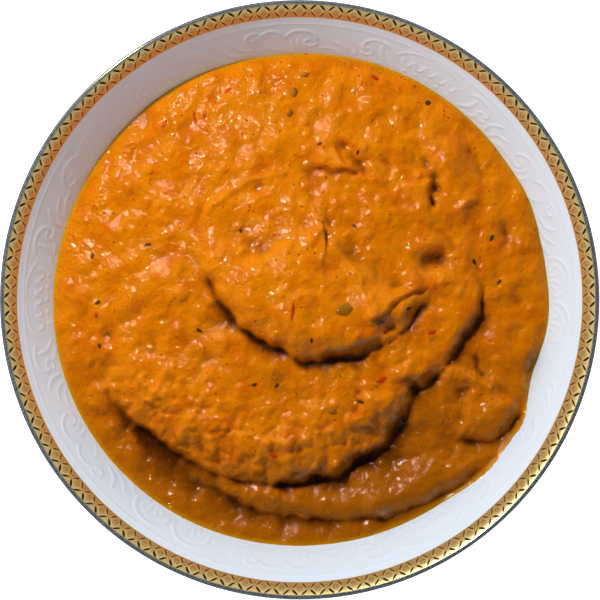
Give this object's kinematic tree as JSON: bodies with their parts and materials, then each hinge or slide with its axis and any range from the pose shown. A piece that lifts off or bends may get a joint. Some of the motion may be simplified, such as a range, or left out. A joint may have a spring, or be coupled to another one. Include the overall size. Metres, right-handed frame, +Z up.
{
  "type": "bowl of lyutenitsa",
  "caption": "Porcelain salad bowl with a flared rim and a foot ring, filled with a thick pepper and tomato relish heaped and swirled with a spoon.",
  "frame": {"origin": "on the table, under the middle of the foot ring", "axes": "+Z up out of the bowl; +Y towards the top of the picture and +X to its right"},
  "size_m": [0.16, 0.16, 0.054],
  "materials": {
    "porcelain": "glossy white glaze, with a printed gold band under the rim",
    "relish": "moist, thick vegetable paste with fine glints"
  },
  "bodies": {
    "root": {"bowl": "porcelain", "lyutenitsa": "relish"}
  },
  "joints": []
}
